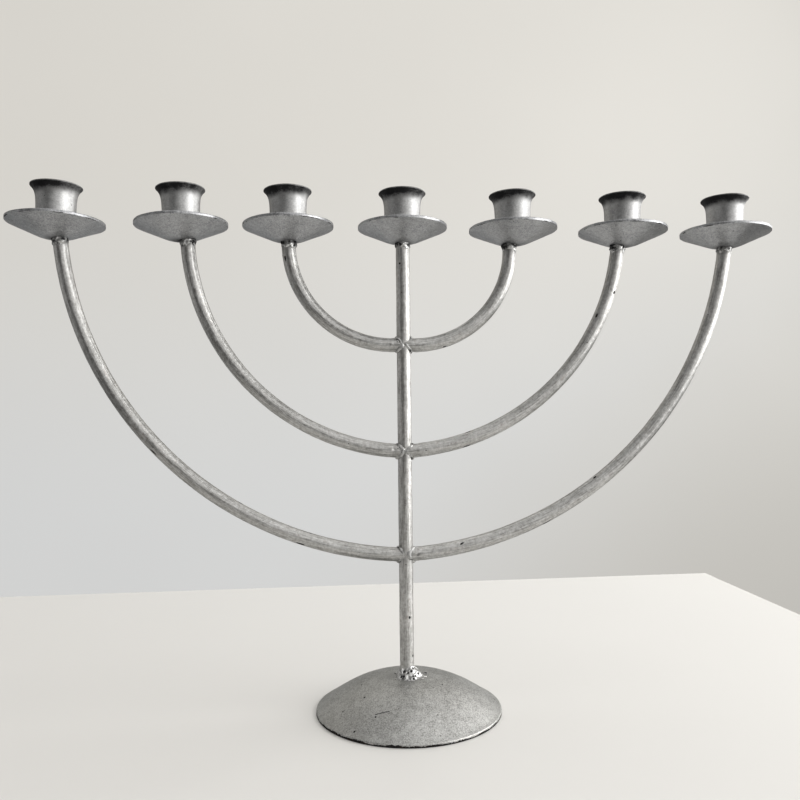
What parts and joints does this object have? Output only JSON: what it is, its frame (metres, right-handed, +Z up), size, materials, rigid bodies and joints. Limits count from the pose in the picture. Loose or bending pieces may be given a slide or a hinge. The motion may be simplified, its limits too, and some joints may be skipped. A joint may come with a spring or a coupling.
{
  "type": "branched candelabrum",
  "caption": "Welded steel menorah-style candelabrum: a central stem with curved arms on either side, each ending in a drip pan and candle cup, on a domed round base.",
  "frame": {"origin": "on the table under the middle of the stem, which is the middle of the whole within about 2 mm because the base and the outer cups sit slightly off-centre", "axes": "+X along the row of cups towards the viewer's right, +Y towards the back, +Z up"},
  "size_m": [0.5526, 0.131, 0.3709],
  "materials": {
    "base_sheet": "satin silver paint, fine mottle, small chips and a scratch",
    "rod_steel": "satin silver paint over round rod, streaky with dark chips",
    "pan_sheet": "satin silver paint, rims worn to bare and slightly rusted steel",
    "cup_tube": "satin silver paint, a little smoother than the rod",
    "weld_bead": "satin silver paint over rough weld metal with dark pits"
  },
  "bodies": {
    "root": {"base": "base_sheet", "stem": "rod_steel", "weld_stem_base": "weld_bead", "arm_left_inner": "rod_steel", "arm_left_middle": "rod_steel", "arm_left_outer": "rod_steel", "arm_right_inner": "rod_steel", "arm_right_middle": "rod_steel", "arm_right_outer": "rod_steel", "weld_arm_left_inner": "weld_bead", "weld_arm_left_middle": "weld_bead", "weld_arm_left_outer": "weld_bead", "weld_arm_right_inner": "weld_bead", "weld_arm_right_middle": "weld_bead", "weld_arm_right_outer": "weld_bead", "drip_pan_centre": "pan_sheet", "drip_pan_left_inner": "pan_sheet", "drip_pan_left_middle": "pan_sheet", "drip_pan_left_outer": "pan_sheet", "drip_pan_right_inner": "pan_sheet", "drip_pan_right_middle": "pan_sheet", "drip_pan_right_outer": "pan_sheet", "candle_cup_centre": "cup_tube", "candle_cup_left_inner": "cup_tube", "candle_cup_left_middle": "cup_tube", "candle_cup_left_outer": "cup_tube", "candle_cup_right_inner": "cup_tube", "candle_cup_right_middle": "cup_tube", "candle_cup_right_outer": "cup_tube", "weld_pan_centre": "weld_bead", "weld_pan_left_inner": "weld_bead", "weld_pan_left_middle": "weld_bead", "weld_pan_left_outer": "weld_bead", "weld_pan_right_inner": "weld_bead", "weld_pan_right_middle": "weld_bead", "weld_pan_right_outer": "weld_bead"}
  },
  "joints": []
}
